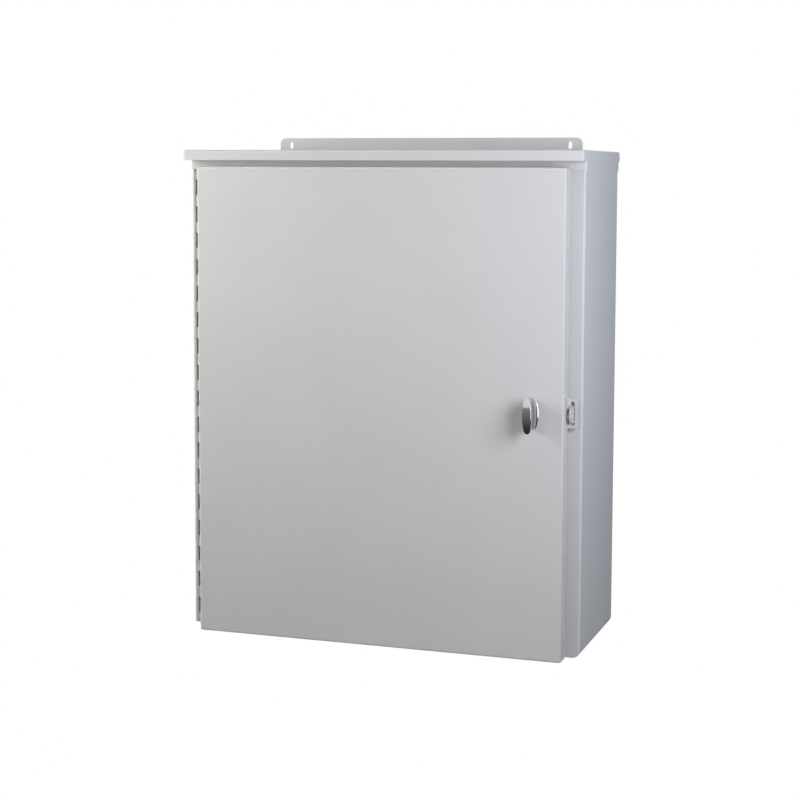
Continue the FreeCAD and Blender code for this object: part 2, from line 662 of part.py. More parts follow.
def on_latch_axis(y):
    """Point on the latch axis at a depth."""
    return Vector(LATCH_X, y, LATCH_Z)


def square_bar(side, y_range):
    """Square bar along the latch axis."""
    half = side / 2
    return block((LATCH_X - half, LATCH_X + half), y_range, (LATCH_Z - half, LATCH_Z + half))


def latch_spindle():
    """Round spindle with a square for the cam and a threaded tip."""
    start = KNOB_BACK - SPINDLE_GRIP
    tip_end = CAM_BACK + GROUND_WASHER_THICKNESS + GROUND_NUT_HEIGHT + SPINDLE_END
    shaft = rod(SPINDLE_RADIUS, on_latch_axis(start), CAM_FRONT - start, ALONG_Y)
    square = square_bar(SPINDLE_SQUARE, (CAM_FRONT, CAM_BACK))
    tip = rod(SPINDLE_TIP_RADIUS, on_latch_axis(CAM_BACK), tip_end - CAM_BACK, ALONG_Y)
    return fuse_all([shaft, square, tip])


def latch_bushing():
    """Flanged bushing through the door, with the spindle's bearing bore."""
    flange_front = DOOR_FRONT - BUSHING_FLANGE
    flange = rod(BUSHING_FLANGE_RADIUS, on_latch_axis(flange_front), BUSHING_FLANGE, ALONG_Y)
    body = rod(BUSHING_RADIUS, on_latch_axis(flange_front), BUSHING_END - flange_front, ALONG_Y)
    bore = rod(
        SPINDLE_RADIUS + SPINDLE_FIT, on_latch_axis(flange_front - THROUGH),
        BUSHING_END - flange_front + 2 * THROUGH, ALONG_Y)
    return fuse_all([flange, body]).cut(bore)


def bushing_nut():
    """Hexagonal nut that clamps the bushing to the door's sheet."""
    return hex_nut(
        BUSHING_NUT_ACROSS, BUSHING_NUT_HEIGHT, BUSHING_RADIUS + BUSHING_HOLE_PLAY,
        on_latch_axis(DOOR_INNER), ALONG_Y, ALONG_Z)


def latch_spacer():
    """Tube on the spindle that holds the cam away from the bushing."""
    start = BUSHING_END + KNOB_PLAY
    return ring(
        SPACER_RADIUS, SPINDLE_RADIUS + SOCKET_FIT, on_latch_axis(start), CAM_FRONT - start, ALONG_Y)


def latch_cam():
    """Flat cam that hangs down when open and reaches behind the right flange when turned."""
    half = CAM_WIDTH / 2
    toe_half = CAM_TOE_WIDTH / 2
    toe = LATCH_Z - CAM_LENGTH
    heel = LATCH_Z + half
    points = [
        (LATCH_X - toe_half, toe), (LATCH_X + toe_half, toe),
        (LATCH_X + half, heel), (LATCH_X - half, heel)]
    radii = [CAM_TOE_RADIUS, CAM_TOE_RADIUS, CAM_HEEL_RADIUS, CAM_HEEL_RADIUS]
    cam = upright_plate(points, radii, (CAM_FRONT, CAM_BACK))
    hole = square_bar(SPINDLE_SQUARE + 2 * SOCKET_FIT, (CAM_FRONT - THROUGH, CAM_BACK + THROUGH))
    return cam.cut(hole)


def cam_washer():
    """Washer between cam and nut."""
    return ring(
        GROUND_WASHER_RADIUS, SPINDLE_TIP_RADIUS + THREAD_PLAY, on_latch_axis(CAM_BACK),
        GROUND_WASHER_THICKNESS, ALONG_Y)


def cam_nut():
    """Nut on the spindle's tip."""
    return hex_nut(
        GROUND_NUT_ACROSS, GROUND_NUT_HEIGHT, SPINDLE_TIP_RADIUS + THREAD_PLAY,
        on_latch_axis(CAM_BACK + GROUND_WASHER_THICKNESS), ALONG_Y, ALONG_Z)


# --- inside ------------------------------------------------------------------------------------
def at_panel_studs(make):
    """One piece at each collar stud, as a group of separate solids."""
    return Part.makeCompound([make(x, z) for x, z in PANEL_STUDS])


def panel_studs():
    """Collar studs welded to the back panel."""

    def stud(x, z):
        collar = rod(COLLAR_RADIUS, Vector(x, COLLAR_FRONT, z), COLLAR_LENGTH, ALONG_Y)
        shank = rod(STUD_RADIUS, Vector(x, COLLAR_FRONT - STUD_LENGTH, z), STUD_LENGTH, ALONG_Y)
        return fuse_all([collar, shank])

    return at_panel_studs(stud)


def mounting_panel():
    """Inner panel that the equipment is fixed to."""
    panel = upright_rectangle(
        (-PANEL_HALF_WIDTH, PANEL_HALF_WIDTH), (-PANEL_HALF_HEIGHT, PANEL_HALF_HEIGHT),
        PANEL_CORNER, (PANEL_FRONT, COLLAR_FRONT))
    for x, z in PANEL_STUDS:
        start = Vector(x, PANEL_FRONT - THROUGH, z)
        hole = rod(STUD_RADIUS + PANEL_HOLE_PLAY, start, PANEL_THICKNESS + 2 * THROUGH, ALONG_Y)
        panel = panel.cut(hole)
    return panel


def panel_washers():
    """Washers on the collar studs."""
    return at_panel_studs(lambda x, z: ring(
        WASHER_RADIUS, STUD_RADIUS + THREAD_PLAY, Vector(x, PANEL_FRONT - WASHER_THICKNESS, z),
        WASHER_THICKNESS, ALONG_Y))


def panel_nuts():
    """Nuts on the collar studs."""
    back = PANEL_FRONT - WASHER_THICKNESS
    return at_panel_studs(lambda x, z: hex_nut(
        NUT_ACROSS, NUT_HEIGHT, STUD_RADIUS + THREAD_PLAY, Vector(x, back - NUT_HEIGHT, z),
        ALONG_Y, ALONG_Z))


def ground_set(foot, direction, reference):
    """Weld stud, washer and nut for an earth wire, standing on a foot point."""
    base = rod(GROUND_FOOT_RADIUS, foot, GROUND_FOOT_HEIGHT, direction)
    shank = rod(GROUND_STUD_RADIUS, foot, GROUND_STUD_LENGTH, direction)
    seat = foot + direction * GROUND_FOOT_HEIGHT
    bore = GROUND_STUD_RADIUS + THREAD_PLAY
    washer = ring(GROUND_WASHER_RADIUS, bore, seat, GROUND_WASHER_THICKNESS, direction)
    nut = hex_nut(
        GROUND_NUT_ACROSS, GROUND_NUT_HEIGHT, bore, seat + direction * GROUND_WASHER_THICKNESS,
        direction, reference)
    return fuse_all([base, shank]), washer, nut


def build_nodes():
    """Every sub-part by name."""
    body_ground = Vector(
        -HALF_WIDTH + GROUND_INSET, BODY_FRONT + GROUND_SETBACK, BODY_BOTTOM + SHEET)
    door_ground = Vector(
        -DOOR_HALF_WIDTH + DOOR_GROUND_INSET, DOOR_INNER, DOOR_BOTTOM + DOOR_GROUND_INSET)
    ground_stud, ground_washer, ground_nut = ground_set(body_ground, ALONG_Z, ALONG_X)
    door_stud, door_washer, door_nut = ground_set(door_ground, ALONG_Y, ALONG_Z)
    return {
        "body_wrap": body_wrap(),
        "back_panel": back_panel(),
        "top_pan": top_pan(),
        "drip_cap": drip_cap(),
        "hinge_body_leaf": hinge_body_leaf(),
        "hinge_pin": hinge_pin(),
        "padlock_staple": padlock_staple(),
        "panel_studs": panel_studs(),
        "mounting_panel": mounting_panel(),
        "panel_washers": panel_washers(),
        "panel_nuts": panel_nuts(),
        "ground_stud": ground_stud,
        "ground_washer": ground_washer,
        "ground_nut": ground_nut,
        "door_panel": door_panel(),
        "hinge_door_leaf": hinge_door_leaf(),
        "door_stiffener": door_stiffener(),
        "data_pocket": data_pocket(),
        "hasp_plate": hasp_plate(),
        "latch_bushing": latch_bushing(),
        "bushing_nut": bushing_nut(),
        "door_ground_stud": door_stud,
        "door_ground_washer": door_washer,
        "door_ground_nut": door_nut,
        "wing_knob": wing_knob(),
        "latch_spindle": latch_spindle(),
        "latch_spacer": latch_spacer(),
        "latch_cam": latch_cam(),
        "cam_washer": cam_washer(),
        "cam_nut": cam_nut(),
    }


def main():
    """Build every node, check that it is sound and write it."""
    os.makedirs("parts", exist_ok=True)
    for name, shape in build_nodes().items():
        if not shape.isValid() or not shape.Solids:
            raise RuntimeError(name + " is not a sound solid")
        shape.exportStep(os.path.join("parts", name + ".step"))
        print(name, len(shape.Solids), round(shape.Volume))


main()
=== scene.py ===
"""Looks of the wall-mounted outdoor enclosure: its finishes, fine details, studio and camera."""
import logging
import math
from dataclasses import dataclass
from enum import Enum

import bmesh
import bpy
from mathutils import Matrix, Vector


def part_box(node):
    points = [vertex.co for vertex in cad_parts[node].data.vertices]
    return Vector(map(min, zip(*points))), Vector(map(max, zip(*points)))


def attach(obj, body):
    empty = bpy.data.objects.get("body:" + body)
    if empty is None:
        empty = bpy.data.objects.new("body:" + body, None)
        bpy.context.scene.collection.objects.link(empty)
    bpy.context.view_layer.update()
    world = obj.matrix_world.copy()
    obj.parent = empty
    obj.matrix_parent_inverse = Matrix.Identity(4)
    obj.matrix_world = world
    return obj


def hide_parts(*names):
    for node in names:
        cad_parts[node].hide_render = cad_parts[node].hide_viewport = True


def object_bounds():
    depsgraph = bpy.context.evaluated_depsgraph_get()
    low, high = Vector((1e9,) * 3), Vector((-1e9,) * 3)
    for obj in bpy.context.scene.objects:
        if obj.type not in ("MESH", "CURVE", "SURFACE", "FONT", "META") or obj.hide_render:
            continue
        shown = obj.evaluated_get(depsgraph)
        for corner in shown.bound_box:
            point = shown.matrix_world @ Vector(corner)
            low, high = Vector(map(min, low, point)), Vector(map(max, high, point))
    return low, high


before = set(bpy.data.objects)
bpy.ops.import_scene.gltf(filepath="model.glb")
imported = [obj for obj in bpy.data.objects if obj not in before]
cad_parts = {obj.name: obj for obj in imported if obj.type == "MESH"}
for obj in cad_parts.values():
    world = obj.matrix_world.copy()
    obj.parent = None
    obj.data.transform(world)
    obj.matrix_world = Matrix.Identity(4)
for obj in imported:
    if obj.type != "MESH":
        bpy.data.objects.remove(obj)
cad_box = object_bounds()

LOG = logging.getLogger("enclosure")

Pair = tuple[float, float]
Triple = tuple[float, float, float]
WHITE: Triple = (1.0, 1.0, 1.0)


class Body(Enum):
    """The three moving bodies that a piece can ride on."""

    BODY = "body"
    DOOR = "door"
    LATCH = "latch"


class Slot(Enum):
    """Finishes: the record's material slots, and a lighter grey on the hinge, as painted light."""

    GREY_PAINT = "grey_paint"
    WHITE_PAINT = "white_paint"
    # Lighter copy of the grey paint: painted light on the hinge, which sits in the door's shade.
    HINGE_LIGHT_PAINTED = "hinge_light_painted"
    CHROME = "chrome"
    ZINC_STEEL = "zinc_steel"
    POCKET_PLASTIC = "pocket_plastic"


# --- node helpers ----------------------------------------------------------------------------
class NodeTree:
    """Thin wrapper that adds and links shader nodes in one material or world."""

    def __init__(self, tree: bpy.types.NodeTree) -> None:
        """Empty a material's or a world's tree and keep it."""
        self.tree = tree
        tree.nodes.clear()

    def add(self, kind: str, **settings: object) -> bpy.types.Node:
        """Add a node and set its properties and unlinked inputs.

        Args:
            kind: Blender's node type name.
            **settings: Properties by name, or inputs by name with spaces as underscores.

        Returns:
            The new node.
        """
        node = self.tree.nodes.new(kind)
        for name, value in settings.items():
            if hasattr(node, name):
                setattr(node, name, value)
            else:
                node.inputs[name.replace("_", " ")].default_value = value
        return node

    def link(self, source: bpy.types.NodeSocket, target: bpy.types.NodeSocket) -> None:
        """Link an output to an input."""
        self.tree.links.new(source, target)

    def feed(self, source: bpy.types.NodeSocket | float, target: bpy.types.NodeSocket) -> None:
        """Link a socket to an input, or set the input where the source is a number.

        Args:
            source: Socket or number.
            target: Input to feed.
        """
        if isinstance(source, bpy.types.NodeSocket):
            self.link(source, target)
        else:
            target.default_value = source

    def noise(self, scale: float, octaves: float, rough: float = 0.5) -> bpy.types.NodeSocket:
        """Noise over the object's own coordinates, in features per metre.

        Args:
            scale: Noise scale.
            octaves: Number of octaves.
            rough: Weight of the finer octaves.

        Returns:
            The socket of the noise, from 0 to 1.
        """
        place = self.add("ShaderNodeTexCoord")
        noise = self.add("ShaderNodeTexNoise", Scale=scale, Detail=octaves, Roughness=rough)
        self.link(place.outputs["Object"], noise.inputs["Vector"])
        return noise.outputs["Fac"]

    def math(
        self,
        operation: str,
        first: bpy.types.NodeSocket | float,
        second: bpy.types.NodeSocket | float,
    ) -> bpy.types.NodeSocket:
        """Calculate with two values.

        Args:
            operation: Blender's name of the operation.
            first: First value.
            second: Second value.

        Returns:
            The result's socket.
        """
        node = self.add("ShaderNodeMath", operation=operation)
        self.feed(first, node.inputs[0])
        self.feed(second, node.inputs[1])
        return node.outputs[0]

    def mix(
        self,
        share: bpy.types.NodeSocket,
        low: bpy.types.NodeSocket,
        high: bpy.types.NodeSocket,
    ) -> bpy.types.NodeSocket:
        """Mix two values.

        Args:
            share: Share of the second value, from 0 to 1.
            low: Value at a share of 0.
            high: Value at a share of 1.

        Returns:
            The mixed value's socket.
        """
        node = self.add("ShaderNodeMix", data_type="FLOAT")
        self.link(share, node.inputs[0])
        self.link(low, node.inputs[2])
        self.link(high, node.inputs[3])
        return node.outputs[0]

    def ramp(self, source: bpy.types.NodeSocket, low: Pair, high: Pair) -> bpy.types.NodeSocket:
        """Straight ramp between two points, level beyond them.

        Args:
            source: Value to read.
            low: Value and result where the ramp begins.
            high: Value and result where it ends.

        Returns:
            The result's socket.
        """
        node = self.add(
            "ShaderNodeMapRange",
            From_Min=low[0], From_Max=high[0], To_Min=low[1], To_Max=high[1])
        self.link(source, node.inputs["Value"])
        return node.outputs["Result"]

    def spread(self, source: bpy.types.NodeSocket, span: Pair) -> bpy.types.NodeSocket:
        """Map a value from 0 to 1 onto a range, given by its ends."""
        return self.ramp(source, (0.0, span[0]), (1.0, span[1]))

    def blend(
        self, source: bpy.types.NodeSocket, low: Triple, high: Triple, edges: Pair = (0.35, 0.65)
    ) -> bpy.types.NodeSocket:
        """Colour between two ends of a value.

        Args:
            source: Value from 0 to 1.
            low: Colour at the low edge.
            high: Colour at the high edge.
            edges: Values at which the two colours are reached.

        Returns:
            The colour's socket.
        """
        ramp = self.add("ShaderNodeValToRGB")
        first, last = ramp.color_ramp.elements
        first.position, last.position = edges
        first.color = (*low, 1.0)
        last.color = (*high, 1.0)
        self.link(source, ramp.inputs["Fac"])
        return ramp.outputs["Color"]

    def bump(
        self,
        height: bpy.types.NodeSocket,
        distance: float,
        strength: float,
        below: bpy.types.NodeSocket | None = None,
    ) -> bpy.types.NodeSocket:
        """Bump from a height value, on top of another bump if one is given.

        Args:
            height: Height from 0 to 1.
            distance: Height of a full step in metres.
            strength: Share of the effect.
            below: Normal of a coarser bump.

        Returns:
            The normal's socket.
        """
        node = self.add("ShaderNodeBump", Distance=distance, Strength=strength)
        self.link(height, node.inputs["Height"])
        if below is not None:
            self.link(below, node.inputs["Normal"])
        return node.outputs["Normal"]


def shade(colour: Triple, factor: float) -> Triple:
    """A linear colour made lighter or darker by a factor, and kept below 1."""
    return tuple(min(1.0, channel * factor) for channel in colour)


def principled(
    name: str, **settings: object
) -> tuple[bpy.types.Material, NodeTree, bpy.types.Node]:
    """Start a material with one principled shader on its output.

    Args:
        name: Name of the material.
        **settings: Inputs of the shader, with spaces as underscores.

    Returns:
        The material, its nodes and the shader.
    """
    material = bpy.data.materials.new(name)
    material.use_nodes = True
    nodes = NodeTree(material.node_tree)
    shader = nodes.add("ShaderNodeBsdfPrincipled", **settings)
    output = nodes.add("ShaderNodeOutputMaterial")
    nodes.link(shader.outputs["BSDF"], output.inputs["Surface"])
    return material, nodes, shader


# --- finishes --------------------------------------------------------------------------------
# Scales are in features per metre, heights in metres, and a roughness is the range it varies over.
@dataclass(frozen=True)
class PowderCoat:
    """Baked powder paint with a fine orange peel and a slight waviness of the sheet."""

    name: str
    colour: Triple
    roughness: Pair = (0.37, 0.47)
    cloud_scale: float = 7.0
    cloud_depth: float = 0.012
    peel_scale: float = 900.0
    peel_height: float = 0.00006
    peel_strength: float = 0.6
    wave_scale: float = 5.0
    wave_height: float = 0.0006

    def make(self) -> bpy.types.Material:
        """Build the material.

        Returns:
            The finished material.
        """
        material, nodes, paint = principled(self.name, IOR=1.5)
        cloud = nodes.noise(self.cloud_scale, octaves=4.0)
        peel = nodes.noise(self.peel_scale, octaves=2.0, rough=0.6)
        wave = nodes.noise(self.wave_scale, octaves=1.0)
        dark, light = (shade(self.colour, 1 + side * self.cloud_depth) for side in (-1, 1))
        nodes.link(nodes.blend(cloud, dark, light), paint.inputs["Base Color"])
        nodes.link(nodes.spread(peel, self.roughness), paint.inputs["Roughness"])
        broad = nodes.bump(wave, self.wave_height, strength=1.0)
        fine = nodes.bump(peel, self.peel_height, self.peel_strength, below=broad)
        nodes.link(fine, paint.inputs["Normal"])
        return material


@dataclass(frozen=True)
class ZincPlate:
    """Bright zinc plating with a fine grain and faint clouds of blue and straw tint."""

    name: str
    cool: Triple = (0.56, 0.58, 0.62)
    warm: Triple = (0.64, 0.62, 0.56)
    roughness: Pair = (0.22, 0.42)
    tint_scale: float = 90.0
    grain_scale: float = 1800.0
    grain_height: float = 0.00002

    def make(self) -> bpy.types.Material:
        """Build the material.

        Returns:
            The finished material.
        """
        material, nodes, metal = principled(self.name, Metallic=1.0)
        tint = nodes.noise(self.tint_scale, octaves=3.0)
        grain = nodes.noise(self.grain_scale, octaves=2.0)
        nodes.link(nodes.blend(tint, self.cool, self.warm), metal.inputs["Base Color"])
        nodes.link(nodes.spread(grain, self.roughness), metal.inputs["Roughness"])
        normal = nodes.bump(grain, self.grain_height, strength=0.5)
        nodes.link(normal, metal.inputs["Normal"])
        return material


@dataclass(frozen=True)
class ChromePlate:
    """Polished chrome over a die casting, with the casting's faint ripple and slight wear."""

    name: str
    colour: Triple = (0.62, 0.62, 0.63)
    roughness: Pair = (0.06, 0.15)
    wear_scale: float = 1400.0
    wear_shades: Pair = (0.94, 1.04)
    ripple_scale: float = 60.0
    ripple_height: float = 0.00008

    def make(self) -> bpy.types.Material:
        """Build the material.

        Returns:
            The finished material.
        """
        material, nodes, metal = principled(self.name, Metallic=1.0)
        ripple = nodes.noise(self.ripple_scale, octaves=1.0)
        wear = nodes.noise(self.wear_scale, octaves=3.0)
        dark, light = (shade(self.colour, factor) for factor in self.wear_shades)
        nodes.link(nodes.blend(wear, dark, light), metal.inputs["Base Color"])
        nodes.link(nodes.spread(wear, self.roughness), metal.inputs["Roughness"])
        normal = nodes.bump(ripple, self.ripple_height, strength=0.5)
        nodes.link(normal, metal.inputs["Normal"])
        return material


@dataclass(frozen=True)
class MouldedPlastic:
    """Moulded plastic with a fine spark-eroded texture."""

    name: str
    colour: Triple
    roughness: Pair = (0.49, 0.61)
    flow_scale: float = 11.0
    flow_shades: Pair = (0.97, 1.03)
    grain_scale: float = 1300.0
    grain_height: float = 0.00008

    def make(self) -> bpy.types.Material:
        """Build the material.

        Returns:
            The finished material.
        """
        material, nodes, plastic = principled(self.name, IOR=1.49)
        flow = nodes.noise(self.flow_scale, octaves=3.0)
        grain = nodes.noise(self.grain_scale, octaves=2.0)
        dark, light = (shade(self.colour, factor) for factor in self.flow_shades)
        nodes.link(nodes.blend(flow, dark, light), plastic.inputs["Base Color"])
        nodes.link(nodes.spread(grain, self.roughness), plastic.inputs["Roughness"])
        normal = nodes.bump(grain, self.grain_height, strength=0.8)
        nodes.link(normal, plastic.inputs["Normal"])
        return material


class Paintbox:
    """Every finish, made once."""

    def __init__(self) -> None:
        """Make the materials."""
        white = PowderCoat("white_powder_coat", (0.78, 0.78, 0.76), roughness=(0.33, 0.43))
        self.finishes: dict[Slot, bpy.types.Material] = {
            Slot.GREY_PAINT: PowderCoat("grey_powder_coat", (0.55, 0.55, 0.55)).make(),
            # The hinge gets the grey paint made lighter: painted light on a hinge that lies in the
            # door's shade.
            Slot.HINGE_LIGHT_PAINTED: PowderCoat("hinge_coat_light_painted", (0.66, 0.66, 0.66)).make(),
            Slot.WHITE_PAINT: white.make(),
            Slot.CHROME: ChromePlate("chrome_plate").make(),
            Slot.ZINC_STEEL: ZincPlate("zinc_plate").make(),
            Slot.POCKET_PLASTIC: MouldedPlastic("grey_plastic", (0.46, 0.46, 0.47)).make(),
        }

    def paint(self, piece: bpy.types.Object, slot: Slot) -> None:
        """Give a piece one finish all over."""
        piece.data.materials.clear()
        piece.data.materials.append(self.finishes[slot])

    def dress(self, slot: Slot, *nodes: str) -> None:
        """Give CAD nodes their finish.

        Args:
            slot: Finish to use.
            *nodes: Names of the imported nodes.
        """
        for node in nodes:
            for material_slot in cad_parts[node].material_slots:
                material_slot.material = self.finishes[slot]
            LOG.info("dressed %s in %s", node, slot.value)


# --- turned pieces ---------------------------------------------------------------------------
@dataclass(frozen=True)
class Thread:
    """Screw thread with straight flanks."""

    pitch: float
    depth_share: float = 0.58
    rows_per_turn: int = 6
    lead_in: float = 0.0007

    def radius(self, reach: float, turn: float, crest: float, end: float) -> float:
        """Radius of the threaded shank at one point.

        Args:
            reach: Place along the axis.
            turn: Share of a full turn about the axis.
            crest: Radius over the crests.
            end: Place of the shank's tip, which is chamfered.

        Returns:
            The radius.
        """
        phase = (reach / self.pitch - turn) % 1.0
        groove = self.pitch * self.depth_share * abs(2 * phase - 1)
        return min(crest - groove, crest - self.lead_in + max(0.0, end - reach))


class TurnedMesh:
    """Collects pieces turned about an axis, with round, square or threaded stretches."""

    around = 32
    sharp_from_deg = 35.0

    def __init__(self) -> None:
        """Start with an empty mesh."""
        self.mesh = bmesh.new()
        self.frame = Matrix.Identity(4)
        self.last: list[bmesh.types.BMVert] = []

    def start(self, origin: Vector, axis: Vector) -> None:
        """Begin a new piece.

        Args:
            origin: Point on the axis from which reaches are measured.
            axis: Direction of the axis.
        """
        turned = axis.to_track_quat("Z", "Y").to_matrix().to_4x4()
        self.frame = Matrix.Translation(origin) @ turned
        self.last = []

    def ring(self, reach: float, radii: list[float]) -> None:
        """Add one ring of points and skin it to the ring before.

        Args:
            reach: Place along the axis.
            radii: Radius at every step round the axis.
        """
        points = []
        for step, radius in enumerate(radii):
            angle = 2 * math.pi * step / self.around
            place = Vector((radius * math.cos(angle), radius * math.sin(angle), reach))
            points.append(self.mesh.verts.new(self.frame @ place))
        if self.last:
            for step in range(self.around):
                after = (step + 1) % self.around
                corners = (self.last[step], self.last[after], points[after], points[step])
                self.mesh.faces.new(corners)
        else:
            self.mesh.faces.new(list(reversed(points)))
        self.last = points

    def rings(self, steps: tuple[Pair, ...], height: float = 1.0, radius: float = 1.0) -> None:
        """Add round rings by reach and radius, which are shares where a full size is given."""
        for reach, share in steps:
            self.ring(reach * height, [share * radius] * self.around)

    def square(self, start: float, end: float, side: float, corner: float) -> None:
        """Add a square stretch with rounded corners.

        Args:
            start: Reach of its beginning.
            end: Reach of its end.
            side: Width across the flats.
            corner: Largest radius, at the corners.
        """
        radii = []
        for step in range(self.around):
            angle = 2 * math.pi * step / self.around
            flat = side / 2 / max(abs(math.cos(angle)), abs(math.sin(angle)))
            radii.append(min(flat, corner))
        self.ring(start, radii)
        self.ring(end, radii)

    def threaded(self, start: float, end: float, crest: float, thread: Thread) -> None:
        """Add a threaded stretch with a chamfered tip, and close the piece.

        Args:
            start: Reach of its beginning.
            end: Reach of its tip.
            crest: Radius over the crests.
            thread: Thread to cut.
        """
        rows = max(2, round((end - start) / thread.pitch * thread.rows_per_turn))
        turns = [step / self.around for step in range(self.around)]
        for row in range(rows + 1):
            reach = start + (end - start) * row / rows
            self.ring(reach, [thread.radius(reach, turn, crest, end) for turn in turns])
        self.finish()

    def finish(self) -> None:
        """Close the open end of the piece."""
        self.mesh.faces.new(self.last)

    def make(self, name: str) -> bpy.types.Object:
        """Turn everything collected into an object with soft curves and sharp edges.

        Args:
            name: Name of the object.

        Returns:
            The object.
        """
        data = bpy.data.meshes.new(name)
        bmesh.ops.recalc_face_normals(self.mesh, faces=self.mesh.faces)
        self.mesh.to_mesh(data)
        self.mesh.free()
        data.shade_smooth()
        data.set_sharp_from_angle(angle=math.radians(self.sharp_from_deg))
        piece = bpy.data.objects.new(name, data)
        bpy.context.scene.collection.objects.link(piece)
        return piece


@dataclass(frozen=True)
class SpotWelds:
    """Upright rows of the round dimpled marks that resistance welds leave on a sheet."""

    name: str
    body: Body
    feet: tuple[Vector, ...]
    height: float
    outward: Vector
    count: int = 9
    radius: float = 0.0032
    rim: float = 0.00018
    # Reach and radius of each ring, as shares of the rim and of the mark's radius.
    profile: tuple[Pair, ...] = (
        (-1.0, 1.0), (0.0, 1.0), (1.0, 0.84), (0.9, 0.74), (0.3, 0.55), (0.2, 0.15))

    def build(self, paintbox: Paintbox) -> None:
        """Build the marks and paint them like the sheet.

        Args:
            paintbox: Finishes to take the paint from.
        """
        turned = TurnedMesh()
        step = Vector((0, 0, self.height / (self.count - 1)))
        for foot in self.feet:
            for index in range(self.count):
                turned.start(foot + step * index, self.outward)
                turned.rings(self.profile, self.rim, self.radius)
                turned.finish()
        marks = turned.make(self.name)
        paintbox.paint(marks, Slot.GREY_PAINT)
        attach(marks, self.body.value)
        LOG.info("marked %s", self.name)


def stand_in(turned: TurnedMesh, node: str, body: Body, paintbox: Paintbox) -> None:
    """Let turned pieces of zinc-plated steel stand for a CAD node.

    Args:
        turned: Finished pieces.
        node: CAD node that they replace.
        body: Body that they ride on.
        paintbox: Finishes to take the plating from.
    """
    piece = turned.make(f"threaded_{node}")
    paintbox.paint(piece, Slot.ZINC_STEEL)
    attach(piece, body.value)
    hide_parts(node)
    LOG.info("%s stands for %s", piece.name, node)


@dataclass(frozen=True)
class WeldStud:
    """Threaded earth stud with a round weld foot."""

    node: str
    body: Body
    axis: Vector
    foot_radius: float = 0.0045
    foot_height: float = 0.0015
    # Reach and radius of each ring, as shares of the foot's height and radius.
    foot_profile: tuple[Pair, ...] = ((0.0, 1.0), (0.8, 1.0), (1.0, 0.93))
    plain_height: float = 0.0018
    shank_radius: float = 0.003
    thread: Thread = Thread(0.001)

    def build(self, paintbox: Paintbox) -> None:
        """Build the stud where the CAD node stands.

        Args:
            paintbox: Finishes to take the plating from.
        """
        low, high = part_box(self.node)
        middle, half = (low + high) / 2, (high - low) / 2
        length = 2 * half.dot(self.axis)
        turned = TurnedMesh()
        turned.start(middle - self.axis * length / 2, self.axis)
        turned.rings(self.foot_profile, self.foot_height, self.foot_radius)
        turned.rings(((self.foot_height, self.shank_radius),))
        turned.threaded(self.plain_height, length, self.shank_radius, self.thread)
        stand_in(turned, self.node, self.body, paintbox)


# --- sub-assemblies --------------------------------------------------------------------------
@dataclass
class BodyShell:
    """Folded body, back panel, top pan and drip cap."""

    paintbox: Paintbox

    def build(self) -> None:
        """Dress the shell's sheets."""
        self.paintbox.dress(Slot.GREY_PAINT, "body_wrap", "back_panel", "top_pan", "drip_cap")


@dataclass
class HingeSet:
    """Continuous hinge down the left side."""

    paintbox: Paintbox
    hem: float = 0.004           # doubled edge of the wall beside the hinge
    leaf_half: float = 0.00075
    weld_end: float = 0.045      # first and last weld to the leaf's ends

    def build(self) -> None:
        """Dress both leaves and the pin, and weld the fixed leaf to the wall."""
        # The leaves wear the lighter grey, which paints light into the hinge's shaded recess.
        self.paintbox.dress(Slot.HINGE_LIGHT_PAINTED, "hinge_body_leaf", "hinge_door_leaf")
        self.paintbox.dress(Slot.ZINC_STEEL, "hinge_pin")
        low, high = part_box("hinge_body_leaf")
        pin_low, pin_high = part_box("hinge_pin")
        outside = (pin_low.x + pin_high.x) / 2 - self.leaf_half - self.hem
        foot = Vector((outside, (pin_high.y + high.y) / 2, low.z + self.weld_end))
        height = high.z - low.z - 2 * self.weld_end
        welds = SpotWelds("hinge_welds", Body.BODY, (foot,), height, Vector((-1, 0, 0)))
        welds.build(self.paintbox)


@dataclass
class DoorPanel:
    """Pan door with its stiffener, pocket and earth stud."""

    paintbox: Paintbox
    brim_width: float = 0.014
    brim_thickness: float = 0.0015
    weld_end: float = 0.05       # first and last weld to the stiffener's ends

    def build(self) -> None:
        """Dress the door's pieces, and weld the stiffener's brims to the sheet."""
        self.paintbox.dress(Slot.GREY_PAINT, "door_panel", "door_stiffener")
        self.paintbox.dress(Slot.POCKET_PLASTIC, "data_pocket")
        self.paintbox.dress(Slot.ZINC_STEEL, "door_ground_washer", "door_ground_nut")
        WeldStud("door_ground_stud", Body.DOOR, Vector((0, 1, 0))).build(self.paintbox)
        self.weld_stiffener()

    def weld_stiffener(self) -> None:
        """Row of spot welds down each brim of the stiffener."""
        low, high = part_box("door_stiffener")
        face = low.y + self.brim_thickness
        inset = self.brim_width / 2
        feet = tuple(
            Vector((x, face, low.z + self.weld_end)) for x in (low.x + inset, high.x - inset))
        height = high.z - low.z - 2 * self.weld_end
        welds = SpotWelds("stiffener_welds", Body.DOOR, feet, height, Vector((0, 1, 0)))
        welds.build(self.paintbox)


@dataclass
class PadlockHasp:
    """Hasp plate on the door and staple on the body."""

    paintbox: Paintbox

    def build(self) -> None:
        """Dress hasp and staple."""
        self.paintbox.dress(Slot.GREY_PAINT, "hasp_plate", "padlock_staple")


